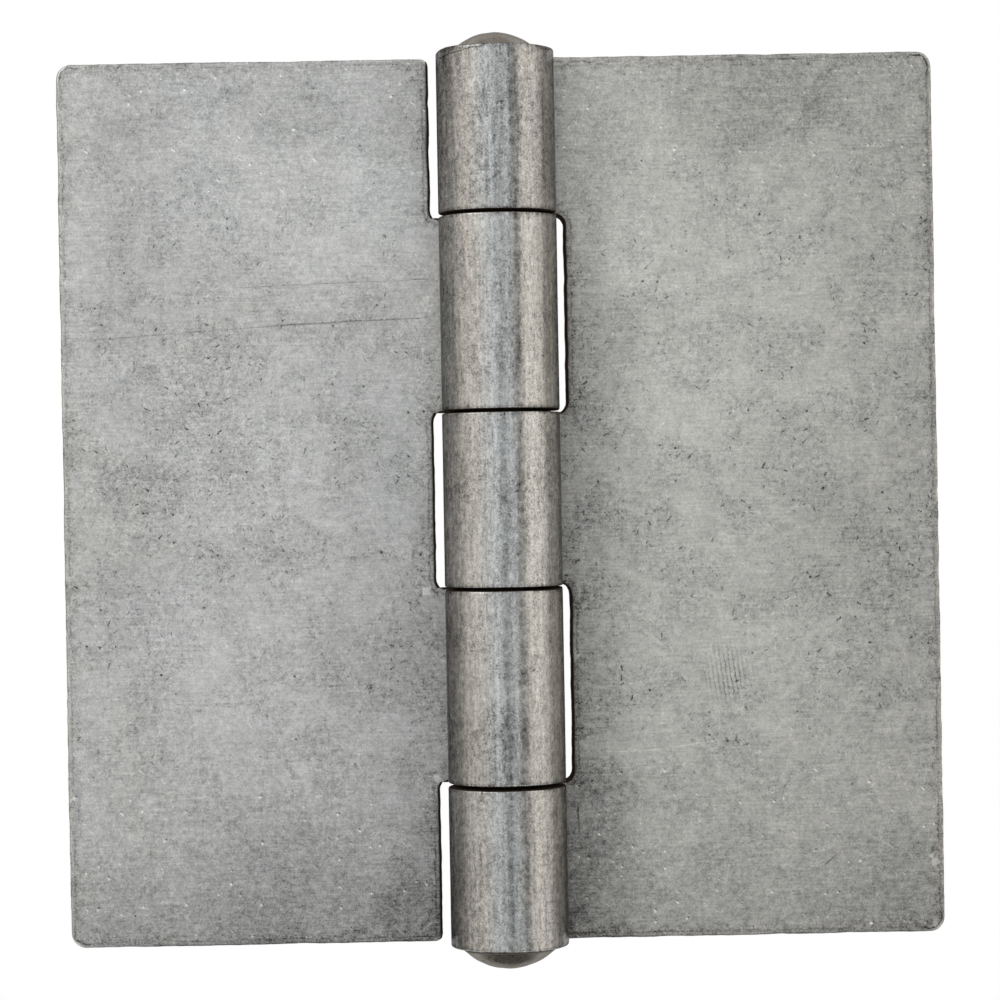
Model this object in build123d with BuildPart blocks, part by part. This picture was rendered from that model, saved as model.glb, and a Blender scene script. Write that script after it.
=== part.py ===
from build123d import *

import os
from math import asin, degrees

# Weld-on butt hinge in plain steel. Two sheet leaves without screw holes have their inner edges
# rolled into five interleaved knuckles, and a pin that is riveted over at its top holds them.
# The pin stands along Z with the origin on its axis, half way up the barrel. The leaves lie open
# and flat along X, their weld faces look to +Y and the barrel stands proud at the front, to -Y.

# Leaves, with the leaf's width taken from the pin's axis
hinge_height = 101.6
leaf_width = 50.4
sheet_thickness = 3.5
corner_radius = 1.8
shoulder_radius = 0.8
edge_break = 0.35

# Knuckles, of which the two door knuckles share the height that the other three leave
end_knuckle_length = 18.25
middle_knuckle_length = 19.8
knuckle_gap = 0.45
notch_clearance = 1.1
notch_radius = 1.2
seam_gap = 0.3

# Pin, with its formed head at the bottom and its riveted end at the top
pin_diameter = 6.35
pin_clearance = 0.075
formed_head_diameter = 11.0
formed_head_height = 2.7
formed_head_rim = 0.4
riveted_head_diameter = 10.6
riveted_head_height = 2.4

# Sizes that follow from those above
pin_radius = pin_diameter / 2
bore_radius = pin_radius + pin_clearance
barrel_radius = bore_radius + sheet_thickness
notch_edge = barrel_radius + notch_clearance
finger_reach = notch_edge + shoulder_radius
roll_angle = 270 + degrees(asin((bore_radius - seam_gap) / barrel_radius))

# Heights along the pin above the middle of the barrel, which mirror below it
barrel_end = hinge_height / 2
end_knuckle_inside = barrel_end - end_knuckle_length
door_knuckle_outside = end_knuckle_inside - knuckle_gap
door_knuckle_inside = middle_knuckle_length / 2 + knuckle_gap
end_knuckle_middle = (barrel_end + end_knuckle_inside) / 2
door_knuckle_middle = (door_knuckle_outside + door_knuckle_inside) / 2
door_knuckle_length = door_knuckle_outside - door_knuckle_inside

# Knuckles of each leaf, as the middle and the length along the pin
frame_knuckles = [
    (end_knuckle_middle, end_knuckle_length),
    (0, middle_knuckle_length),
    (-end_knuckle_middle, end_knuckle_length),
]
door_knuckles = [
    (door_knuckle_middle, door_knuckle_length),
    (-door_knuckle_middle, door_knuckle_length),
]

# Side of the pin that each leaf reaches to, and the slack for picking a corner by its place
FRAME_SIDE = 1
DOOR_SIDE = -1
PICK = 0.001


def plate_outline(side, knuckles):
    """Flat of a leaf on its weld face: the sheared plate with a finger to the pin for each knuckle."""
    weld_face = Plane((0, barrel_radius, 0), x_dir=(side, 0, 0), z_dir=(0, -side, 0))
    with BuildSketch(weld_face) as outline:
        with Locations(((notch_edge + leaf_width) / 2, 0)):
            Rectangle(leaf_width - notch_edge, hinge_height)
        fillet(outline.vertices().group_by(Axis.X)[-1], corner_radius)
        fillet(outline.vertices().group_by(Axis.X)[0], shoulder_radius)
        for middle, length in knuckles:
            with Locations((finger_reach / 2, middle)):
                Rectangle(finger_reach, length)
        roots = outline.vertices().filter_by_position(Axis.X, notch_edge - PICK, notch_edge + PICK)
        fillet(
            roots.filter_by_position(Axis.Y, -end_knuckle_inside - PICK, end_knuckle_inside + PICK),
            notch_radius,
        )
    return outline.sketch


def rolled_finger(side, height):
    """Section of a knuckle: the sheet rolled on from the weld face until it nearly closes on the leaf."""
    across_pin = Plane((0, 0, height), x_dir=(side, 0, 0), z_dir=(0, 0, side))
    with BuildSketch(across_pin) as section:
        with BuildLine():
            outside = CenterArc((0, 0), barrel_radius, 90, roll_angle)
            inside = CenterArc((0, 0), bore_radius, 90, roll_angle)
            Line(outside @ 0, inside @ 0)
            Line(outside @ 1, inside @ 1)
        make_face()
    return section.sketch


def worn_edges(leaf):
    """Edges of the sheared outline and of the knuckles' rims, on both skins of the sheet."""
    rounds = leaf.edges().filter_by(GeomType.CIRCLE)
    across = leaf.edges().filter_by(Axis.X)
    along = leaf.edges().filter_by(Axis.Z).filter_by(lambda edge: abs(edge.center().X) > barrel_radius)
    return rounds + across + along


# Frame leaf, with the end knuckles and the middle one
frame_plate = plate_outline(FRAME_SIDE, frame_knuckles)
with BuildPart() as frame_leaf:
    extrude(frame_plate, amount=sheet_thickness, dir=(0, -1, 0))
    for middle, length in frame_knuckles:
        extrude(rolled_finger(FRAME_SIDE, middle), amount=length / 2, both=True)
    chamfer(worn_edges(frame_leaf), edge_break)

# Door leaf, with the two knuckles between them
door_plate = plate_outline(DOOR_SIDE, door_knuckles)
with BuildPart() as door_leaf:
    extrude(door_plate, amount=sheet_thickness, dir=(0, -1, 0))
    for middle, length in door_knuckles:
        extrude(rolled_finger(DOOR_SIDE, middle), amount=length / 2, both=True)
    chamfer(worn_edges(door_leaf), edge_break)


def dome_radius(diameter, height):
    """Radius of the sphere whose cap has this diameter and height."""
    return (diameter**2 / 4 + height**2) / (2 * height)


# Hinge pin, turned about its axis, with a head on each end face of the barrel
with BuildPart() as hinge_pin:
    with BuildSketch(Plane.XZ):
        with BuildLine():
            formed_edge = (formed_head_diameter / 2, -barrel_end - formed_head_rim)
            formed_top = (0, -barrel_end - formed_head_height)
            riveted_edge = (riveted_head_diameter / 2, barrel_end)
            riveted_top = (0, barrel_end + riveted_head_height)
            formed_dome = dome_radius(formed_head_diameter, formed_head_height - formed_head_rim)
            RadiusArc(formed_top, formed_edge, -formed_dome)
            Polyline(
                formed_edge,
                (formed_head_diameter / 2, -barrel_end),
                (pin_radius, -barrel_end),
                (pin_radius, barrel_end),
                riveted_edge,
            )
            RadiusArc(riveted_edge, riveted_top, -dome_radius(riveted_head_diameter, riveted_head_height))
            Line(riveted_top, formed_top)
        make_face()
    revolve(axis=Axis.Z)

frame_leaf.part.label = "frame_leaf"
door_leaf.part.label = "door_leaf"
hinge_pin.part.label = "hinge_pin"

os.makedirs("parts", exist_ok=True)
export_step(frame_leaf.part, "parts/frame_leaf.step")
export_step(door_leaf.part, "parts/door_leaf.step")
export_step(hinge_pin.part, "parts/hinge_pin.step")
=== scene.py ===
import math
from types import SimpleNamespace

import bmesh
import bpy
import numpy as np
from mathutils import Matrix, Vector


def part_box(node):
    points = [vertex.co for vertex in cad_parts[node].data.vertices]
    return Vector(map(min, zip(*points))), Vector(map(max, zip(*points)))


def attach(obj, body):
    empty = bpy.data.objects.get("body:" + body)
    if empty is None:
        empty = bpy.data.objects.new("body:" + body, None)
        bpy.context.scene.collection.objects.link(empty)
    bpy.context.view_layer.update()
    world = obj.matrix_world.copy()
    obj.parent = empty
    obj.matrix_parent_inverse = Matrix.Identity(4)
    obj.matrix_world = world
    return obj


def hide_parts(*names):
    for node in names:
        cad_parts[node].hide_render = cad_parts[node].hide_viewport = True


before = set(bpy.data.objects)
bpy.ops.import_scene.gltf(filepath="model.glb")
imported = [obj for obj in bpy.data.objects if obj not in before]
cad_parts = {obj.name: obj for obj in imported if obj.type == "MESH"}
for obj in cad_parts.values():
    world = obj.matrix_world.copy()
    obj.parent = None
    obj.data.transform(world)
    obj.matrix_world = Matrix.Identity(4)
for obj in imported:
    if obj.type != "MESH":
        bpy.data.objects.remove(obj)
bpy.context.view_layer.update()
scene = bpy.context.scene
scene.view_settings.view_transform = "Standard"

# Lengths are in millimetres until a mesh is made
MM = 0.001

# Sizes of the leaves, the first three from the CAD node's box
_, leaf_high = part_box("frame_leaf")
LEAF_REACH, BARREL_RADIUS, HALF_HEIGHT = [round(size / MM, 3) for size in leaf_high]
SHEET = 3.5
CORNER = 1.8
SHOULDER = 0.8
NOTCH_EDGE = 7.85
NOTCH_RADIUS = 1.2
ROLL_LENGTH = math.radians(295.9) * BARREL_RADIUS
FINGER_ROOT = NOTCH_EDGE - NOTCH_RADIUS

# Heights at which the knuckles end, which mirror below the middle of the barrel
END_KNUCKLE = 18.25
MIDDLE_KNUCKLE = 19.8
KNUCKLE_GAP = 0.45
END_INSIDE = HALF_HEIGHT - END_KNUCKLE
MIDDLE_END = MIDDLE_KNUCKLE / 2
DOOR_INSIDE = MIDDLE_END + KNUCKLE_GAP
DOOR_OUTSIDE = END_INSIDE - KNUCKLE_GAP

# Knuckles of each leaf along the pin, with the wear at their lower and upper ends
FRAME_FINGERS = [
    (-HALF_HEIGHT, -END_INSIDE, 0.0, 0.05),
    (-MIDDLE_END, MIDDLE_END, 0.0, 0.0),
    (END_INSIDE, HALF_HEIGHT, 0.0, -0.02),
]
DOOR_FINGERS = [(-DOOR_OUTSIDE, -DOOR_INSIDE, 0.05, 0.0), (DOOR_INSIDE, DOOR_OUTSIDE, 0.0, 0.0)]

# First random seed of each leaf
FRAME_SEED = 100
DOOR_SEED = 200

# Width over which a worn edge rounds off, and the places of the loops that round it
EDGE = 0.4
EASE = EDGE * (1 - np.cos(np.linspace(0, math.pi / 2, 5)))

# Density of a leaf's mesh: rows up it, columns across its plate and columns round a knuckle
ROW_STEP = 0.45
PLATE_COLUMNS = 96
FINGER_COLUMNS = 76

# Dents in each skin, and the lip that riveting has raised round the top of the barrel
DENTS = 110
LIP_HEIGHT = 0.28

# Slack for comparing heights, and a height beyond all others
SLACK = 0.001
FAR = 1000.0

# Cells of random values before the noise repeats
NOISE_CELLS = 64


def lattice_noise(x, y, seed):
    """Smooth random values from 0 to 1 with a feature size of one unit."""
    table = np.random.default_rng(seed).random((NOISE_CELLS, NOISE_CELLS))
    i, j = np.floor(x).astype(int), np.floor(y).astype(int)
    u, v = x - i, y - j
    u, v = u * u * (3 - 2 * u), v * v * (3 - 2 * v)
    left, right = i % NOISE_CELLS, (i + 1) % NOISE_CELLS
    below, above = j % NOISE_CELLS, (j + 1) % NOISE_CELLS
    low = table[left, below] * (1 - u) + table[right, below] * u
    high = table[left, above] * (1 - u) + table[right, above] * u
    return low * (1 - v) + high * v


def wavy(along, long, short, seed):
    """Uneven values from 0 to 1 along a line, with waves of two given lengths and fine ones."""
    shares = ((0.5, long), (0.3, short), (0.2, 0.46))
    return sum(share * lattice_noise(along / size, 0 * along, seed) for share, size in shares)


def smooth(value, start, end):
    """0 before start, 1 after end, and smooth between them."""
    t = np.clip((value - start) / (end - start), 0, 1)
    return t * t * (3 - 2 * t)


def fade(distance, width):
    """1 at a line, falling off away from it over about the given width."""
    return np.exp(-np.clip(distance, 0, 50) / width)


def on_roll(s):
    """1 on the rolled part of the sheet and 0 on the plate."""
    return 1 - smooth(s, 0, 3)


def eased(start, end, step):
    """Places from start to end about a step apart, with closer ones at both ends."""
    count = max(round((end - start - 2 * EDGE) / step), 1)
    middle = np.linspace(start + EDGE, end - EDGE, count + 1)
    return np.concatenate([start + EASE[:-1], middle, end - EASE[-2::-1]])


def quads(grid):
    """Faces between neighbouring rows and columns of an array of vertex numbers."""
    corners = [grid[:-1, :-1], grid[:-1, 1:], grid[1:, 1:], grid[1:, :-1]]
    return np.stack(corners, -1).reshape(-1, 4)


def mesh_object(name, places, faces, attributes):
    """A smooth closed mesh from places in millimetres, with its values for the materials."""
    mesh = bpy.data.meshes.new(name)
    mesh.from_pydata((places * MM).tolist(), [], [face.tolist() for face in faces])
    for key, values in attributes.items():
        if values.ndim == 2:
            mesh.attributes.new(key, "FLOAT_VECTOR", "POINT").data.foreach_set("vector", values.ravel())
        else:
            mesh.attributes.new(key, "FLOAT", "POINT").data.foreach_set("value", values)
    work = bmesh.new()
    work.from_mesh(mesh)
    bmesh.ops.recalc_face_normals(work, faces=work.faces)
    work.to_mesh(mesh)
    work.free()
    mesh.polygons.foreach_set("use_smooth", [True] * len(mesh.polygons))
    made = bpy.data.objects.new(name, mesh)
    scene.collection.objects.link(made)
    return made


def plate_start(z, fingers):
    """Where the plate begins at each height: at a finger's root, a notch's wall or a shoulder."""
    below_end = HALF_HEIGHT - np.abs(z)
    turn = SHOULDER - np.clip(below_end, 0, SHOULDER)
    start = NOTCH_EDGE + SHOULDER - np.sqrt(SHOULDER**2 - turn**2)
    for low, high, _, _ in fingers:
        away = np.maximum(low - z, z - high)
        turn = NOTCH_RADIUS - np.clip(away, 0, NOTCH_RADIUS)
        in_root = FINGER_ROOT + np.sqrt(NOTCH_RADIUS**2 - turn**2)
        start = np.where(away <= 0, FINGER_ROOT, np.where(away < NOTCH_RADIUS, in_root, start))
    return start


def plate_end(z):
    """Where the plate ends at each height, with its rounded corners."""
    turn = CORNER - np.clip(HALF_HEIGHT - np.abs(z), 0, CORNER)
    return LEAF_REACH - CORNER + np.sqrt(CORNER**2 - turn**2)


def notch_distance(s, z, low, high):
    """Distance to the wall of the notch between two heights, with its rounded roots."""
    across = s - FINGER_ROOT
    along = np.abs(z - (low + high) / 2) - ((high - low) / 2 - NOTCH_RADIUS)
    outside = np.hypot(np.maximum(across, 0), np.maximum(along, 0))
    return outside + np.minimum(np.maximum(across, along), 0) - NOTCH_RADIUS


# Stains of the front skins, and one patch of painted shade beside the barrel, with the tone that each adds:
# middle, reach and tone
STAINS_AND_SHADE = (
    ((29.0, 46.0), (14, 9), -0.105),
    ((33.0, 27.5), (7, 5), 0.045),
    ((14.5, 30.0), (4, 9), 0.05),
    ((19.5, 40.0), (8, 17), 0.03),
    ((21.0, 11.0), (9, 9), 0.065),
    ((37.0, -3.0), (7, 6), -0.04),
    ((36.0, -17.5), (14, 7), 0.045),
    ((-42.5, 22.0), (6, 30), -0.05),
    ((-22.0, 36.0), (17, 15), 0.06),
    ((-21.0, 45.0), (11, 6), -0.09),
    ((-40.0, 15.0), (12, 5), 0.045),
    ((-35.0, 7.0), (10, 11), -0.05),
    ((-15.0, 4.0), (8, 12), -0.035),
    ((-28.0, 2.0), (12, 12), 0.045),
    ((-31.0, -18.0), (12, 13), 0.03),
    ((-14.0, -19.0), (12, 10), -0.065),
    ((-13.0, -34.0), (7, 9), -0.05),
    ((-25.0, -42.0), (16, 10), -0.085),
    ((-26.0, -50.0), (20, 9), -0.04),
    # painted shade beside the barrel at the foot of the left leaf
    ((-9.0, -43.0), (6, 11), -0.09),
    ((-42.0, -10.0), (7, 6), -0.05),
)

# Scuffs of bare metal: middle and reach
SCUFFS = (
    ((-8.7, -10.4), (1.3, 0.9)),
    ((-8.0, 22.6), (0.7, 1.2)),
    ((-8.1, -31.9), (1.0, 0.8)),
    ((8.2, -18.1), (0.6, 1.0)),
    ((49.4, -42.4), (0.9, 1.3)),
    ((49.6, -49.9), (1.1, 0.8)),
)


def stain_and_shade_tone(x, z):
    """Tone that stains and painted shade add: soft patches, a foot darkened as painted shade of light from
    above, a darker free edge, and painted shade of the barrel on the leaves beside the knuckles.
    """
    ragged = 0.42 * lattice_noise(x / 6.5, z / 6.5, 41)
    ragged += 0.23 * lattice_noise(x / 2.4, z / 2.4, 42) - 0.325
    # Darker towards the foot as painted shade of light from above, and darker towards the right leaf's free
    # edge
    tone = -0.12 * smooth(-z - 4 * ragged, 33, 54) - 0.09 * smooth(x + 4 * ragged, 24, 50.4)
    for middle, reach, amount in STAINS_AND_SHADE:
        away = np.hypot((x - middle[0]) / reach[0], (z - middle[1]) / reach[1])
        tone += amount * (1 - smooth(away + ragged, 0.25, 1.15))
    # Painted shade that the barrel casts on the leaves beside the knuckles
    left_knuckle_shade = -0.07 * smooth(-z, -14, 4) - 0.07 * smooth(z, 24, 36)
    right_knuckle_shade = -0.07 - 0.12 * smooth(-z, -40, -5) - 0.04 * smooth(-z, 8, 20)
    beside_knuckles = 1 - smooth(np.abs(x) + 2 * ragged, 7, 18)
    return tone + beside_knuckles * np.where(x < 0, left_knuckle_shade, right_knuckle_shade)


def scuff_share(x, z):
    """1 in the middle of a scuff and 0 away from all of them."""
    aways = [np.hypot((x - at[0]) / reach[0], (z - at[1]) / reach[1]) for at, reach in SCUFFS]
    return 1 - smooth(np.min(aways, 0), 0.0, 1.6)


def finger_levels(fingers):
    """Heights at which the leaf ends, or at which one of its fingers starts or stops."""
    return sorted({-HALF_HEIGHT, HALF_HEIGHT, *[z for finger in fingers for z in finger[:2]]})


def sheet_grid(fingers):
    """A developed leaf as a grid: s along the sheet from the pin, z up it, and the faces of one skin."""
    levels = finger_levels(fingers)
    spans = [eased(a, b, ROW_STEP) for a, b in zip(levels, levels[1:])]
    rows = np.unique(np.concatenate(spans).round(4))

    # Plate, in rows that follow its outline
    start, end = plate_start(rows, fingers)[:, None], plate_end(rows)[:, None]
    inner = start + EDGE + (end - start - 2 * EDGE) * np.linspace(0, 1, PLATE_COLUMNS)
    plate_s = np.hstack([start + EASE[:-1], inner, end - EASE[-2::-1]])
    plate_z = np.repeat(rows[:, None], plate_s.shape[1], 1)
    plate = np.arange(plate_s.size).reshape(plate_s.shape)
    s, z, faces = [plate_s.ravel()], [plate_z.ravel()], [quads(plate)]

    # Fingers that are rolled into knuckles, each joined to the plate at its root
    total = plate_s.size
    reach = np.linspace(EDGE - ROLL_LENGTH, FINGER_ROOT, FINGER_COLUMNS)
    columns = np.concatenate([EASE[:-1] - ROLL_LENGTH, reach[:-1]])
    for low, high, _, _ in fingers:
        inside = np.flatnonzero((rows > low - SLACK) & (rows < high + SLACK))
        grid = total + np.arange(len(inside) * len(columns)).reshape(len(inside), -1)
        s.append(np.tile(columns, len(inside)))
        z.append(np.repeat(rows[inside], len(columns)))
        faces.append(quads(np.hstack([grid, plate[inside, :1]])))
        total += grid.size
    return np.concatenate(s), np.concatenate(z), np.concatenate(faces)


def outline_distance(s, z, fingers):
    """Distance of each place from the sheet's outline, and from the nearest wall of a notch."""
    levels = finger_levels(fingers)
    walls = levels[1:-1]
    if fingers[0][0] > -HALF_HEIGHT:
        walls = [-FAR, *walls, FAR]
    across, along = s - LEAF_REACH + CORNER, np.abs(z) - HALF_HEIGHT + CORNER
    outside = np.hypot(np.maximum(across, 0), np.maximum(along, 0))
    edge = CORNER - outside - np.minimum(np.maximum(across, along), 0)
    notch = np.full(len(s), FAR)
    for low, high in zip(walls[::2], walls[1::2]):
        notch = np.minimum(notch, notch_distance(s, z, low, high))
    corner = SHOULDER - np.hypot(SHOULDER - edge, SHOULDER - notch)
    edge = np.where((edge < SHOULDER) & (notch < SHOULDER), corner, np.minimum(edge, notch))
    return np.clip(np.minimum(edge, s + ROLL_LENGTH), 0, 20), notch


def worn_outline(s, z, notch, fingers, seed):
    """The sheet's places with a worn and wavy outline, and which way its knuckles' burrs point."""
    moved_s, moved_z = s.copy(), z.copy()
    moved_s -= 0.16 * wavy(z, 2.3, 0.9, seed) * fade(LEAF_REACH - s, 0.9)
    end_wave = 0.14 * wavy(s, 2.6, 0.9, seed + 2) * fade(HALF_HEIGHT - np.abs(z), 0.9)
    moved_z -= np.sign(z) * end_wave * smooth(s, 6, 9)
    notch_burr = 0.16 * wavy(z, 1.7, 0.9, seed + 4) - 0.26
    moved_s += notch_burr * fade(notch, 0.6) * smooth(s, FINGER_ROOT, NOTCH_EDGE)
    burr = np.zeros(len(s))
    for low, high, low_wear, high_wear in fingers:
        inside = (z >= low - SLACK) * (z <= high + SLACK)
        at_low, at_high = inside * fade(z - low, 0.8), inside * fade(high - z, 0.8)
        low_wave, high_wave = wavy(s + low, 3.1, 0.9, seed + 6), wavy(s + high, 3.3, 0.8, seed + 8)
        moved_z += at_low * on_roll(s) * (low_wear + 0.05 * low_wave)
        moved_z -= at_high * on_roll(s) * (high_wear + 0.05 * high_wave)
        burr += at_high * (high < HALF_HEIGHT) - at_low * (low > -HALF_HEIGHT)
    return moved_s, moved_z, burr


def skin_depths(s, z, edge, seed):
    """Depths of the front and back skins below the weld face: rounded edges, slow waves and dents."""
    radius = EDGE * (0.7 + 0.5 * lattice_noise(s / 4, z / 4, seed + 10)) * (1 - 0.5 * on_roll(s))
    turn = radius - np.minimum(edge, radius)
    rounding = radius - np.sqrt(radius**2 - turn**2)
    chance = np.random.default_rng(seed + 11)
    reliefs = []
    for skin in range(2):
        relief = 0.04 * lattice_noise(s / 17 + 5, z / 17, seed + 12 + skin)
        relief += 0.016 * lattice_noise(s / 6, z / 6, seed + 14 + skin)
        relief += 0.006 * lattice_noise(s / 1.9, z / 1.9, seed + 16 + skin)
        for _ in range(DENTS):
            at_s = chance.uniform(-ROLL_LENGTH, LEAF_REACH)
            at_z = chance.uniform(-HALF_HEIGHT, HALF_HEIGHT)
            size, depth = chance.uniform(0.5, 1.6), chance.uniform(0.008, 0.035)
            relief += depth * np.exp(-((s - at_s) ** 2 + (z - at_z) ** 2) / (size * size))
        reliefs.append(relief)
    return SHEET - rounding - reliefs[1] * smooth(s, -1, 2), rounding + reliefs[0]


def leaf_object(name, side, fingers, seed):
    """A leaf as one sheet with two skins, which rolls round the pin where s is negative."""
    s, z, faces = sheet_grid(fingers)
    edge, notch = outline_distance(s, z, fingers)
    moved_s, moved_z, burr = worn_outline(s, z, notch, fingers, seed)
    front, back = skin_depths(s, z, edge, seed)

    # Burrs at the ends of the door leaf's knuckles, and the lip at the frame leaf's top
    burr *= (0.15 + 0.2 * smooth(s, -12.5, -10.5)) * (1 - smooth(s, 7.4, 8.2)) * (side < 0)
    lip = LIP_HEIGHT * (side > 0) * fade(HALF_HEIGHT - z, 0.6) * on_roll(s) * smooth(-s, 10.5, 15.0)
    back_raised = burr * (1 - smooth(s, 1.5, 3.5)) + lip

    # Places of the front skin and the back skin, then the wall between them
    places, sheet = [], []
    for depth, raised in ((front, burr), (back, back_raised)):
        radius = BARREL_RADIUS - depth
        angle = math.pi / 2 + np.maximum(-moved_s, 0) / BARREL_RADIUS
        x = np.where(moved_s > 0, moved_s, radius * np.cos(angle))
        y = np.where(moved_s > 0, radius, radius * np.sin(angle))
        places.append(np.stack([side * x, y, moved_z + raised], 1))
        sheet.append(np.stack([side * s, z, depth], 1))
    first = np.concatenate([faces[:, [k, (k + 1) % 4]] for k in range(4)])
    key, reverse = first[:, 0] * len(s) + first[:, 1], first[:, 1] * len(s) + first[:, 0]
    rim = first[~np.isin(key, reverse)]
    wall = np.stack([rim[:, 1], rim[:, 0], rim[:, 0] + len(s), rim[:, 1] + len(s)], 1)
    faces = np.concatenate([faces, faces[:, ::-1] + len(s), wall])

    # Values for the material, alike on both skins apart from the depth
    values = {
        "edge_mm": edge,
        "notch_mm": np.clip(notch, 0, 20),
        "roll": 1 - smooth(s, 1.0, 5.0),
        "stain_and_shade": stain_and_shade_tone(side * s, z),
        "scuff": scuff_share(side * s, z),
    }
    attributes = {key: np.tile(value, 2) for key, value in values.items()}
    attributes["sheet"] = np.concatenate(sheet)
    return mesh_object(name, np.concatenate(places), faces, attributes)


# Pin heads, with the pin's own box for their heights
pin_low, pin_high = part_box("hinge_pin")
PIN_RADIUS = 3.175
TOP_RADIUS = 5.3
BOTTOM_RADIUS = 5.5
BOTTOM_RIM = 0.4
DOME_RINGS = 34
SHAFT_RINGS = 60
PIN_SIDES = 128


def dome(radius, height, count):
    """Radii and heights of a round cap, from its rim to its top."""
    ball = (radius**2 + height**2) / (2 * height)
    angle = np.linspace(math.asin(radius / ball), 0, count)
    return ball * np.sin(angle), ball * np.cos(angle) - ball + height


def pin_object(name):
    """The pin turned about its axis, with hammered heads."""
    top_r, top_z = dome(TOP_RADIUS, pin_high.z / MM - HALF_HEIGHT, DOME_RINGS)
    low_r, low_z = dome(BOTTOM_RADIUS, -pin_low.z / MM - HALF_HEIGHT - BOTTOM_RIM, DOME_RINGS)
    shaft_z = np.linspace(-HALF_HEIGHT, HALF_HEIGHT, SHAFT_RINGS)[1:-1]
    under = np.linspace(BOTTOM_RADIUS, PIN_RADIUS, 4)
    over = np.linspace(PIN_RADIUS, TOP_RADIUS, 4)
    radius = np.concatenate(
        [low_r[::-1], [BOTTOM_RADIUS], under]
        + [0 * shaft_z + PIN_RADIUS, over, top_r[1:]]
    )
    height = np.concatenate(
        [-HALF_HEIGHT - BOTTOM_RIM - low_z[::-1], [-HALF_HEIGHT - 0.1], under * 0 - HALF_HEIGHT]
        + [shaft_z, over * 0 + HALF_HEIGHT, HALF_HEIGHT + top_z[1:]]
    )
    turn = np.linspace(0, 2 * math.pi, PIN_SIDES, endpoint=False)
    rings = slice(1, -1)
    r = np.repeat(radius[rings, None], len(turn), 1)
    z = np.repeat(height[rings, None], len(turn), 1)
    a = np.repeat(turn[None], len(r), 0)
    ragged = lattice_noise(a * NOISE_CELLS / (2 * math.pi) / 8, np.sign(z) * 3 + 5, 31)
    on_head = (r > PIN_RADIUS + 0.01) * (np.abs(z) >= HALF_HEIGHT)
    r -= on_head * 0.25 * ragged * smooth(r, 3.6, 5.2)
    x, y = r * np.cos(a), r * np.sin(a)
    beaten = 0.16 * lattice_noise(x / 2.1 + 9, y / 2.1 + 9, 32)
    beaten += 0.05 * lattice_noise(x / 0.8 + 9, y / 0.8 + 9, 33)
    above = smooth(np.abs(z), HALF_HEIGHT + 0.1, HALF_HEIGHT + 0.8)
    z -= np.sign(z) * beaten * above
    places = np.stack([x.ravel(), y.ravel(), z.ravel()], 1)
    places = np.vstack([places, [0, 0, height[0] + 0.1], [0, 0, height[-1] - 0.1]])
    grid = np.arange(r.size).reshape(r.shape)
    grid = np.hstack([grid, grid[:, :1]])
    caps = [np.array([r.size, grid[0, k + 1], grid[0, k]]) for k in range(len(turn))]
    caps += [np.array([r.size + 1, grid[-1, k], grid[-1, k + 1]]) for k in range(len(turn))]
    inside = np.append(np.maximum(HALF_HEIGHT - 0.05 - np.abs(z.ravel()), 0), [0, 0])
    return mesh_object(name, places, [*quads(grid), *caps], {"sheet": places, "edge_mm": inside})


# Depth of the finest relief, which only the shading shows
BUMP_DEPTH = 0.05 * MM


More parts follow.
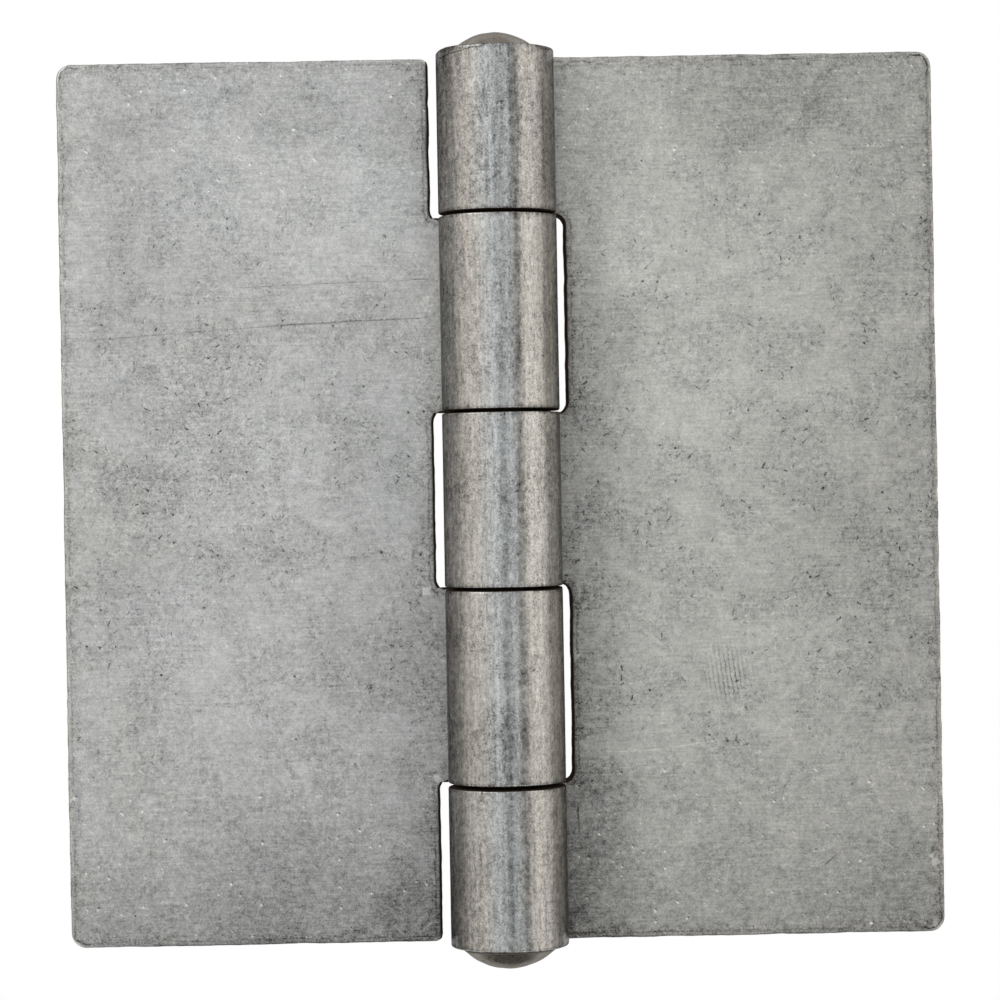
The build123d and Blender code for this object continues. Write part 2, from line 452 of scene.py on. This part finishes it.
class Graph:
    """Short calls that build the nodes of a material. Arguments are sockets or plain values."""

    def __init__(self, name):
        self.material = bpy.data.materials.new(name)
        self.material.use_nodes = True
        self.tree = self.material.node_tree
        self.tree.nodes.clear()

    def node(self, kind, inputs, **settings):
        made = self.tree.nodes.new(kind)
        for key, value in settings.items():
            setattr(made, key, value)
        for key, value in inputs.items():
            if isinstance(value, bpy.types.NodeSocket):
                self.tree.links.new(value, made.inputs[key])
            else:
                made.inputs[key].default_value = value
        return made

    def attribute(self, name, output):
        return self.node("ShaderNodeAttribute", {}, attribute_name=name).outputs[output]

    def math(self, operation, a, b=0.0):
        return self.node("ShaderNodeMath", {0: a, 1: b}, operation=operation).outputs[0]

    def total(self, first, *terms):
        for term in terms:
            first = self.math("ADD", first, term)
        return first

    def times(self, first, *terms):
        for term in terms:
            first = self.math("MULTIPLY", first, term)
        return first

    def swing(self, value, amount):
        """How far a 0 to 1 value is from its middle, times amount."""
        return self.times(self.math("SUBTRACT", value, 0.5), amount)

    def ramp(self, value, start, end, low=0.0, high=1.0):
        inputs = {0: value, 1: start, 2: end, 3: low, 4: high}
        return self.node("ShaderNodeMapRange", inputs, interpolation_type="SMOOTHSTEP").outputs[0]

    def scaled(self, where, size, stretch):
        scale = (1 / (size * stretch[0]), 1 / (size * stretch[1]), 0)
        return self.node("ShaderNodeVectorMath", {0: where, 1: scale}, operation="MULTIPLY").outputs[0]

    def noise(self, where, size, stretch=(1, 1), detail=1.0, rough=0.5, bend=0.0):
        inputs = {"Vector": self.scaled(where, size, stretch), "Scale": 1.0, "Detail": detail}
        inputs.update({"Roughness": rough, "Distortion": bend})
        return self.node("ShaderNodeTexNoise", inputs, noise_dimensions="2D").outputs["Fac"]

    def turned(self, where, degrees):
        inputs = {"Vector": where, "Angle": math.radians(degrees)}
        return self.node("ShaderNodeVectorRotate", inputs, rotation_type="Z_AXIS").outputs[0]

    def spots(self, where, size, share, radius):
        """Scattered round spots: one in each cell of the given size, in a share of the cells."""
        inputs = {"Vector": self.scaled(where, size, (1, 1)), "Scale": 1.0}
        cells = self.node("ShaderNodeTexVoronoi", inputs, voronoi_dimensions="2D")
        pick = self.node("ShaderNodeSeparateColor", {0: cells.outputs["Color"]}).outputs
        reach = self.times(self.ramp(pick[0], 1 - share, 1.0), radius)
        return self.ramp(self.math("SUBTRACT", reach, cells.outputs["Distance"]), 0.0, radius * 0.5)

    def dashes(self, where, size, share, length, width, ragged):
        """Scattered short marks, mostly upright, like spots, with their offset from each mark's middle."""
        inside = self.scaled(where, size, (1, 1))
        inputs = {"Vector": inside, "Scale": 1.0}
        cells = self.node("ShaderNodeTexVoronoi", inputs, voronoi_dimensions="2D").outputs
        pick = self.node("ShaderNodeSeparateColor", {0: cells["Color"]}).outputs
        inputs = {0: inside, 1: cells["Position"]}
        offset = self.node("ShaderNodeVectorMath", inputs, operation="SUBTRACT").outputs[0]
        angle = self.ramp(pick[1], 0.0, 1.0, math.radians(25), math.radians(155))
        inputs = {"Vector": offset, "Angle": angle}
        away = self.node("ShaderNodeVectorRotate", inputs, rotation_type="Z_AXIS").outputs[0]
        away = self.scaled(away, 1 / size, (length, width))
        away = self.node("ShaderNodeVectorMath", {0: away}, operation="LENGTH").outputs["Value"]
        away = self.total(self.math("DIVIDE", away, self.total(pick[2], 0.45)), ragged)
        return self.times(self.ramp(away, 1.0, 0.5), self.ramp(pick[0], 1 - share, 1.0)), offset

    def line(self, where, start, end, width, strength, crooked):
        """A scratch between two places on the sheet, thin at both ends and a little crooked."""
        run = Vector((end[0] - start[0], end[1] - start[1], 0))
        ahead = run.normalized()
        inputs = {0: where, 1: (*start, 0)}
        away = self.node("ShaderNodeVectorMath", inputs, operation="SUBTRACT").outputs[0]
        inputs = {0: away, 1: ahead}
        along = self.node("ShaderNodeVectorMath", inputs, operation="DOT_PRODUCT").outputs["Value"]
        inputs = {0: away, 1: (-ahead.y, ahead.x, 0)}
        across = self.node("ShaderNodeVectorMath", inputs, operation="DOT_PRODUCT").outputs["Value"]
        near = self.ramp(self.math("ABSOLUTE", self.total(across, crooked)), 0.0, width, strength, 0.0)
        far_end = self.ramp(along, run.length - 2.0, run.length + 0.3, 1.0, 0.0)
        return self.times(near, self.ramp(along, -0.5, 0.8), far_end)

    def patch(self, where, middle, reach, ragged):
        """A soft patch round a place on the sheet, with a ragged outline."""
        shift = (-middle[0] / reach[0], -middle[1] / reach[1], 0)
        inputs = {0: where, 1: (1 / reach[0], 1 / reach[1], 0), 2: shift}
        away = self.node("ShaderNodeVectorMath", inputs, operation="MULTIPLY_ADD").outputs[0]
        away = self.node("ShaderNodeVectorMath", {0: away}, operation="LENGTH").outputs["Value"]
        return self.ramp(self.total(away, ragged), 0.25, 1.15, 1.0, 0.0)

    def most(self, first, *others):
        for other in others:
            first = self.math("MAXIMUM", first, other)
        return first

    def tint(self, tone, cool_share, warm, cool):
        inputs = {0: cool_share, 6: (*warm, 1), 7: (*cool, 1)}
        mixed = self.node("ShaderNodeMix", inputs, data_type="RGBA").outputs[2]
        scaled = self.node("ShaderNodeVectorMath", {0: mixed, 3: tone}, operation="SCALE")
        return scaled.outputs[0]

    def finish(self, colour, roughness, height, depth):
        bump = self.node("ShaderNodeBump", {"Strength": 1.0, "Distance": depth, "Height": height})
        inputs = {"Base Color": colour, "Roughness": roughness, "Metallic": 1.0, "Normal": bump.outputs[0]}
        inputs["Specular Tint"] = (0.4, 0.4, 0.4, 1)
        shader = self.node("ShaderNodeBsdfPrincipled", inputs)
        self.node("ShaderNodeOutputMaterial", {"Surface": shader.outputs[0]})
        return self.material

    def glow(self, colour):
        """A card's own light, which isn't sampled as a lamp."""
        shader = self.node("ShaderNodeEmission", {"Color": colour, "Strength": 1.0})
        self.node("ShaderNodeOutputMaterial", {"Surface": shader.outputs[0]})
        self.material.cycles.emission_sampling = "NONE"
        return self.material


# Long scratches of the front skins, dark ones and bright ones: start, end, half width and strength
SCRATCHES = (
    ((-47.6, 19.0), (-21.6, 20.6), 0.12, 0.6),
    ((-27.0, 20.3), (-7.6, 21.1), 0.17, 1.0),
    ((-30.2, 24.8), (-6.8, 25.5), 0.11, 0.75),
    ((36.4, -42.9), (38.6, -41.0), 0.18, 1.0),
    ((8.1, -35.2), (8.3, -39.0), 0.22, 1.0),
)
GLEAMS = (
    ((11.1, -29.2), (18.5, -29.2), 0.12, 0.45),
    ((16.0, -29.2), (25.5, -28.1), 0.14, 1.0),
    ((-39.0, -22.0), (-41.0, -32.0), 0.16, 0.5),
)

# Tones of the steel before its marks, its tints, and the dark scale and painted shade on the notches' walls
# and knuckle ends
LEAF_TONE = 0.53
PIN_TONE = 0.37
WARM_STEEL = (1.022, 1.0, 0.95)
COOL_STEEL = (1.006, 1.0, 0.988)
WARM_PIN = (1.03, 0.93, 0.8)
COOL_PIN = (1.02, 0.95, 0.86)
NOTCH_WALL_SCALE_AND_SHADE = (0.07, 0.05, 0.038, 1)


def sheet_surface(g):
    """What a leaf's material knows of a place: where it is, clouds from large to small, and zones."""
    on = SimpleNamespace()
    on.where, on.edge = g.attribute("sheet", "Vector"), g.attribute("edge_mm", "Fac")
    on.notch, on.roll = g.attribute("notch_mm", "Fac"), g.attribute("roll", "Fac")
    on.x, on.z, depth = g.node("ShaderNodeSeparateXYZ", {0: on.where}).outputs[:3]
    on.front = g.ramp(depth, 1.4, 2.0)
    on.flat = g.math("SUBTRACT", 1.0, on.roll)
    on.own_side = g.ramp(on.x, -2.0, 2.0)

    # Clouds, which differ on the two skins and don't run straight through the sheet
    shear = g.times(depth, 0.35)
    other_skin = g.math("GREATER_THAN", depth, 1.75)
    skin_x = g.total(on.x, g.times(other_skin, 9.3), shear)
    skin_z = g.total(on.z, g.times(other_skin, 5.8), shear)
    on.skin = g.node("ShaderNodeCombineXYZ", {"X": skin_x, "Y": skin_z}).outputs[0]
    on.clouds = g.noise(on.skin, 19.0, detail=2, bend=0.6)
    on.patches = g.noise(on.skin, 6.5, detail=3, rough=0.6, bend=0.8)
    on.mottle = g.noise(on.skin, 1.9, detail=2, rough=0.6, bend=0.8)
    on.soft = g.noise(on.skin, 0.75, detail=1, rough=0.6)
    on.dots = g.noise(on.skin, 0.4, detail=1, rough=0.6)
    on.grain = g.noise(on.skin, 0.2, detail=1, rough=0.7)

    # Zones with more marks than the rest
    on.left_rough = g.patch(on.where, (-34.0, 7.0), (15, 14), g.swing(on.clouds, 1.3))
    on.pitted = g.times(g.ramp(on.z, -40.0, -24.0, 0.3, 1.0), g.ramp(on.z, 26.0, 42.0, 1.0, 0.5))
    on.rough = g.most(g.times(g.ramp(on.patches, 0.42, 0.58, 1.0, 0.15), on.pitted), on.left_rough)
    return on


def cloud_tone(g, on):
    """Clouds and grain, louder where the skin is rough, with the marks of rolling along the sheet."""
    rolled = g.noise(on.skin, 0.24, (16, 1), detail=1)
    loud = g.total(1.37, g.times(on.own_side, -0.12), g.times(on.rough, 0.5), g.times(on.left_rough, 0.3))
    loud = g.total(loud, g.times(on.pitted, -0.35))
    fine = g.total(g.swing(on.soft, 0.2), g.swing(on.dots, 0.14), g.swing(on.grain, 0.2))
    return g.total(
        g.swing(on.clouds, 0.14),
        g.times(g.swing(on.patches, 0.26), g.total(0.6, g.times(on.pitted, 0.4))),
        g.swing(on.mottle, 0.2),
        g.times(fine, loud),
        g.times(g.swing(rolled, 0.15), on.flat),
    )


def mark_tone(g, on):
    """Small marks: dots, leaning ticks, nicks, chips painted with a highlight on their lit side and a
    shadow on their dark side, and pits.
    """
    some_anywhere = g.total(0.35, g.times(on.rough, 0.65))
    dark_dots = g.times(g.ramp(on.dots, 0.34, 0.23), on.rough, on.pitted)
    tick = g.noise(g.turned(on.skin, 38), 0.42, (0.8, 2.6), detail=1)
    dark_ticks = g.times(g.ramp(tick, 0.27, 0.2), some_anywhere)
    bright_ticks = g.times(g.ramp(tick, 0.755, 0.82), g.ramp(on.clouds, 0.6, 0.45))

    nicks, _ = g.dashes(on.skin, 1.2, 0.6, 0.33, 0.1, g.swing(on.grain, 1.1))
    nicks = g.times(nicks, g.total(some_anywhere, g.times(on.left_rough, 0.45)), on.pitted)
    calm = g.patch(on.where, (-28.0, -22.0), (18, 14), g.swing(on.clouds, 1.0))
    nicks = g.times(nicks, g.total(1.0, g.times(calm, -0.6)))

    # Chips painted with a highlight on one side and a shadow on the other, as if lit from one way
    painted_chip_glints, offset = g.dashes(on.skin, 1.25, 0.65, 0.27, 0.14, g.swing(on.grain, 2.0))
    inputs = {0: offset, 1: (-0.6, -0.8, 0)}
    lit = g.node("ShaderNodeVectorMath", inputs, operation="DOT_PRODUCT").outputs["Value"]
    painted_chip_glints = g.times(painted_chip_glints, g.ramp(lit, -0.07, 0.05, -0.6, 1.0), g.math("SUBTRACT", 1.3, on.pitted))
    painted_chip_glints = g.times(painted_chip_glints, g.ramp(on.mottle, 0.42, 0.6, 0.15, 1.0))

    marks = g.total(
        g.times(dark_dots, -0.06), g.times(dark_ticks, -0.15), g.times(nicks, -0.32),
        g.times(bright_ticks, 0.15), g.times(painted_chip_glints, 0.55),
    )
    pits = g.times(g.spots(on.skin, 1.7, 0.22, 0.12), g.ramp(on.patches, 0.4, 0.6, 1.0, 0.3), on.pitted)
    return g.total(
        g.times(marks, g.total(0.4, g.times(on.flat, 0.6))),
        g.times(pits, -0.4, g.total(0.2, g.times(on.flat, 0.8))),
    )


def scratch_tone(g, on):
    """A patch of hatching, scuffs of bare metal, and long dark and bright scratches."""
    ridges = g.node("ShaderNodeSeparateXYZ", {0: g.turned(on.where, -7.5)}).outputs[0]
    ridges = g.math("SINE", g.times(g.total(ridges, g.swing(on.soft, 0.3)), 2 * math.pi / 0.5))
    hatched = g.patch(on.where, (25.2, -20.5), (3.2, 4.1), g.swing(on.mottle, 0.6))
    hatch = g.times(g.ramp(ridges, 0.0, 0.9), hatched, g.ramp(on.x, 22.5, 27.0, 0.4, 1.0), on.front)
    scuffs = g.ramp(g.total(g.attribute("scuff", "Fac"), g.swing(on.soft, 1.2)), 0.45, 0.95)
    scuffs = g.times(scuffs, on.front)

    crooked = g.total(g.swing(on.patches, 0.3), g.swing(on.mottle, 0.14))
    scratches = g.most(*[g.line(on.where, *place, crooked) for place in SCRATCHES])
    scratches = g.times(scratches, on.front, g.ramp(on.soft, 0.3, 0.5, 0.35, 1.0))
    gleams = g.most(*[g.line(on.where, *place, crooked) for place in GLEAMS])
    gleams = g.times(gleams, on.front, g.ramp(on.mottle, 0.35, 0.5, 0.4, 1.0))
    crease = g.line(on.where, (-11.5, 49.75), (-20.5, 50.7), 0.12, 0.8, g.swing(on.mottle, 0.3))
    scratches = g.most(scratches, g.times(crease, g.math("SUBTRACT", 1.0, on.front)))
    return g.total(
        g.times(hatch, -0.25), g.times(scuffs, 0.2), g.times(scratches, -0.26), g.times(gleams, 0.16)
    )


def edge_wear(g, on):
    """Along the sheared edges: a dull band, a broken groove and a bright worn line."""
    band = g.total(on.edge, g.swing(on.patches, 2.0), g.swing(on.soft, 1.6))
    band = g.times(g.ramp(band, 0.3, 1.9, 1.0, 0.0), on.flat, g.ramp(on.grain, 0.3, 0.65, 1.0, 0.5))
    corners = g.ramp(g.math("ABSOLUTE", on.x), 47.0, 48.8)
    corners = g.times(corners, g.ramp(g.math("ABSOLUTE", on.z), 47.2, 49.2))
    from_groove = g.total(on.edge, g.swing(on.soft, 0.4), g.times(corners, 0.2), -0.62)
    groove = g.ramp(g.math("ABSOLUTE", from_groove), 0.02, 0.16, 1.0, 0.0)
    groove = g.times(groove, g.total(g.ramp(on.patches, 0.44, 0.56), g.times(corners, 1.3)), on.flat)
    worn = g.ramp(g.total(on.edge, g.swing(on.soft, 0.3)), 0.12, 0.36, 1.0, 0.0)
    worn = g.times(worn, g.most(g.ramp(on.mottle, 0.4, 0.56), corners), on.flat)
    return band, groove, worn


def knuckle_tone(g, on):
    """Long draw marks and scaly mottle of the knuckles, darker at their rims and ends, with painted shade
    along the barrel's left flank.
    """
    streaks = g.noise(on.skin, 0.45, (1, 14), detail=2)
    scale = g.noise(on.skin, 0.46, (1, 2.0), detail=2, rough=0.9)
    end_knuckles = g.total(g.ramp(on.z, 31.0, 34.0, 0.0, -0.05), g.ramp(on.z, -31.0, -34.0, 0.0, -0.01))
    rim = g.ramp(on.edge, 0.08, 0.55, -0.14, 0.0)
    # Painted shade along the barrel's left flank, on the frame and door knuckles alike
    from_left_flanks = [g.math("ABSOLUTE", g.total(on.x, -side)) for side in (-12.0, 29.8)]
    left_flank_shade = g.total(*[g.ramp(away, 1.0, 3.2, -0.14, 0.0) for away in from_left_flanks])
    fine = g.total(g.swing(streaks, 0.32), g.swing(scale, 0.47), g.swing(on.grain, 0.12))
    return g.times(g.total(-0.07, end_knuckles, rim, left_flank_shade, fine), on.roll)


def leaf_steel():
    """Tumbled bare sheet: cloudy, lightly marked and scratched, with dark edges and shinier knuckles."""
    g = Graph("leaf_steel")
    on = sheet_surface(g)
    band, groove, worn = edge_wear(g, on)
    tone = g.total(
        LEAF_TONE, g.times(g.attribute("stain_and_shade", "Fac"), on.front),
        cloud_tone(g, on), knuckle_tone(g, on), mark_tone(g, on), scratch_tone(g, on),
        g.times(band, -0.08), g.times(worn, 0.16), g.times(groove, -0.14),
    )
    tone = g.math("MAXIMUM", tone, 0.08)

    # Cooler in clouds of the left leaf and on the knuckles
    cool = g.ramp(g.total(on.clouds, g.swing(on.patches, 0.5)), 0.4, 0.66)
    cool_patch = g.patch(on.where, (-33.0, 40.0), (19, 19), g.swing(on.patches, 1.0))
    cool = g.times(g.most(cool, cool_patch), 0.45)
    cool = g.times(g.total(0.45, cool), g.math("SUBTRACT", 1.0, on.own_side))
    cool = g.most(cool, g.times(on.roll, 0.55))
    colour = g.tint(tone, cool, WARM_STEEL, COOL_STEEL)

    # Dark walls of the notches: dark scale, and painted shade that blackens the gaps between knuckles; they
    # reach less far in on the knuckles
    wall_start, wall_end = g.total(0.14, g.times(on.roll, -0.12)), g.total(0.32, g.times(on.roll, -0.21))
    wall = g.ramp(on.notch, wall_start, wall_end, 1.0, 0.0)
    colour = g.node("ShaderNodeMix", {0: wall, 6: colour, 7: NOTCH_WALL_SCALE_AND_SHADE}, data_type="RGBA").outputs[2]
    roughness = g.total(
        0.5, g.times(on.roll, -0.26), g.swing(on.patches, 0.2), g.swing(on.soft, 0.2),
        g.times(band, 0.12), g.times(worn, -0.15),
    )
    height = g.total(g.times(on.mottle, 0.3), g.times(on.soft, 0.4))
    return g.finish(colour, g.most(roughness, wall), height, BUMP_DEPTH)


def pin_steel():
    """Bare rod, a little darker, with beaten heads darkened by painted shade where they meet the barrel,
    and painted shade on the shaft inside the barrel.
    """
    g = Graph("pin_steel")
    where, depth = g.attribute("sheet", "Vector"), g.attribute("edge_mm", "Fac")
    z = g.math("ABSOLUTE", g.node("ShaderNodeSeparateXYZ", {0: where}).outputs[2])
    patches = g.noise(where, 4.0, detail=3, rough=0.6, bend=0.8)
    mottle = g.noise(where, 1.1, detail=2, rough=0.6, bend=0.6)
    grain = g.noise(where, 0.3, detail=1)
    pits = g.spots(where, 1.4, 0.6, 0.18)
    tone = g.total(PIN_TONE, g.swing(patches, 0.14), g.swing(mottle, 0.14), g.swing(grain, 0.2))
    tone = g.total(tone, g.times(pits, -0.12))
    # Painted shade where the heads meet the barrel, and on the shaft hidden inside the barrel
    shade_near_barrel = g.ramp(z, HALF_HEIGHT + 0.2, HALF_HEIGHT + 0.55, 0.2, 1.0)
    tone = g.times(tone, g.ramp(depth, 0.05, 0.3, 1.0, 0.12), shade_near_barrel)
    colour = g.tint(tone, g.ramp(patches, 0.45, 0.65), WARM_PIN, COOL_PIN)
    roughness = g.total(0.3, g.swing(patches, 0.2), g.swing(grain, 0.2))
    height = g.total(g.times(mottle, 0.5), g.times(grain, 0.2), g.times(pits, -0.4))
    return g.finish(colour, roughness, height, BUMP_DEPTH)


# The three pieces
leaf_finish, pin_finish = leaf_steel(), pin_steel()
frame_leaf = leaf_object("frame_leaf_sheet", 1, FRAME_FINGERS, FRAME_SEED)
door_leaf = leaf_object("door_leaf_sheet", -1, DOOR_FINGERS, DOOR_SEED)
pin = pin_object("hinge_pin_riveted")
for piece, node, body, finish, slot in (
    (frame_leaf, "frame_leaf", "frame_side", leaf_finish, "leaf_steel"),
    (door_leaf, "door_leaf", "door_side", leaf_finish, "leaf_steel"),
    (pin, "hinge_pin", "frame_side", pin_finish, "pin_steel"),
):
    piece.data.materials.append(finish)
    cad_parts[node].data.materials.clear()
    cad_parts[node].data.materials.append(finish)
    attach(piece, body)
    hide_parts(node)


# Camera at the photograph's viewing angle, with its place in metres and its turns in degrees
CAMERA_PLACE = (-0.00618, -0.34853, 0.00173)
CAMERA_TIP, CAMERA_LEAN, CAMERA_ROLL = 90 - 0.296, -0.972, -1.016
camera = bpy.data.objects.new("camera", bpy.data.cameras.new("camera"))
scene.collection.objects.link(camera)
scene.camera = camera
camera.data.lens = 110.14
camera.data.sensor_width = 36.0
camera.data.clip_start = 0.01
turns = Matrix.Rotation(math.radians(CAMERA_TIP), 4, "X")
turns = turns @ Matrix.Rotation(math.radians(CAMERA_LEAN), 4, "Y")
turns = turns @ Matrix.Rotation(math.radians(CAMERA_ROLL), 4, "Z")
camera.matrix_world = Matrix.Translation(CAMERA_PLACE) @ turns


def stage_mesh(name, places, faces, material):
    """A floor or card, which isn't part of the object."""
    mesh = bpy.data.meshes.new(name)
    mesh.from_pydata(places, [], faces)
    mesh.materials.append(material)
    made = bpy.data.objects.new(name, mesh)
    scene.collection.objects.link(made)
    return made


# White floor below the hinge, in metres
g = Graph("floor")
shader = g.node("ShaderNodeBsdfPrincipled", {"Base Color": (1, 1, 1, 1), "Roughness": 0.9})
g.node("ShaderNodeOutputMaterial", {"Surface": shader.outputs[0]})
FLOOR_HEIGHT = -0.45
FLOOR_REACH = 8
directions = ((-1, -1), (1, -1), (1, 1), (-1, 1))
corners = [(x * FLOOR_REACH, y * FLOOR_REACH, FLOOR_HEIGHT) for x, y in directions]
stage_mesh("floor", corners, [(0, 1, 2, 3)], g.material)


# Cards round the hinge: their radius in metres, and their lowest and highest rows in degrees
CARD_RADIUS = 0.75
CARD_LOW, CARD_HIGH, CARD_ROWS = -30, 42, 49
FLAG_SIDES = 48


def seen_by_metal(made):
    """Hide a card from everything but reflections."""
    made.visible_camera = False
    made.visible_diffuse = False
    made.visible_shadow = False


def card(name, middle, spread, colours):
    """A curved grey card round the hinge, which its metal reflects and the camera doesn't see."""
    g = Graph(name)
    material = g.glow(g.attribute("glow", "Color"))
    turn = np.linspace(-spread, spread, 2 * spread + 1)
    rise = np.linspace(CARD_LOW, CARD_HIGH, CARD_ROWS)
    t, e = np.meshgrid(np.radians(middle + turn), np.radians(rise))
    places = CARD_RADIUS * np.stack([np.sin(t), -np.cos(t), np.tan(e)], -1).reshape(-1, 3)
    faces = quads(np.arange(t.size).reshape(t.shape))
    made = stage_mesh(name, places.tolist(), faces.tolist(), material)
    glow = np.ones((t.size, 4))
    glow[:, :3] = colours(np.degrees(t).ravel(), np.degrees(e).ravel())
    made.data.attributes.new("glow", "FLOAT_COLOR", "POINT").data.foreach_set("color", glow.ravel())
    seen_by_metal(made)


def front_colours(turn, rise):
    """Cool in the middle, warm at the sides, with two dark gaps, and darker towards the floor."""
    level = np.interp(rise, [-30, -14, -8, 8, 25, 42], [0.6, 0.76, 0.86, 1.0, 1.05, 1.05])
    sides = [-110, -95, -80, -60, -45, -25, -14, -4, 5, 14, 22, 45, 60, 85, 95, 110]
    across = [0.22, 0.45, 0.78, 0.93, 0.97, 1.0, 1.08, 1.02, 0.97, 0.98, 0.98, 1.12, 1.22, 0.98, 0.62, 0.36]
    level = level * np.interp(turn, sides, across)
    level *= 1 - 0.7 * (smooth(turn, 24, 29) - smooth(turn, 37, 48))
    gap = np.interp(rise, [-10, -5, 0, 5, 10], [0.55, 0.65, 0.5, 0.38, 0.18])
    level *= 1 - gap * (smooth(turn, -8, -1) - smooth(turn, 7, 14))
    warm, cool = np.array([1.03, 0.982, 0.912]), np.array([0.955, 1.0, 1.022])
    share = (smooth(turn, -52, -18) - smooth(turn, 22, 36))[:, None]
    return level[:, None] * (warm * (1 - share) + cool * share)


def back_colours(turn, rise):
    """Plain grey, darker towards the floor."""
    return np.interp(rise, [CARD_LOW, CARD_HIGH], [0.7, 1.0])[:, None] * np.ones(3)


card("front_card", middle=0, spread=128, colours=front_colours)
card("back_card", middle=180, spread=50, colours=back_colours)


def flag(name, height, radius, level):
    """A round dark card over or under the hinge, for its pin heads to reflect."""
    material = Graph(name).glow((level, level, level, 1))
    turn = np.linspace(0, 2 * math.pi, FLAG_SIDES, endpoint=False)
    places = [(radius * math.cos(t), radius * math.sin(t), height) for t in turn]
    seen_by_metal(stage_mesh(name, places, [tuple(range(FLAG_SIDES))], material))


flag("flag_below", height=-0.155, radius=0.085, level=0.12)
flag("flag_above", height=0.5, radius=0.3, level=0.5)

# White world and one soft lamp
world = bpy.data.worlds.new("world")
scene.world = world
world.use_nodes = True
world.cycles.sampling_method = "NONE"
world.node_tree.nodes["Background"].inputs[0].default_value = (1, 1, 1, 1)
world.node_tree.nodes["Background"].inputs[1].default_value = 1.0


def softbox(name, place, width, height, power, colour):
    """A rectangular lamp that looks at the hinge."""
    lamp = bpy.data.objects.new(name, bpy.data.lights.new(name, "AREA"))
    scene.collection.objects.link(lamp)
    lamp.data.shape = "RECTANGLE"
    lamp.data.size, lamp.data.size_y = width, height
    lamp.data.energy = power
    lamp.data.color = colour
    lamp.location = place
    lamp.rotation_euler = (-Vector(place)).to_track_quat("-Z", "Y").to_euler()


key_place, key_colour = (-0.5, -0.36, 0.45), (1.0, 0.99, 0.97)
softbox("key", key_place, width=0.5, height=0.5, power=0.9, colour=key_colour)
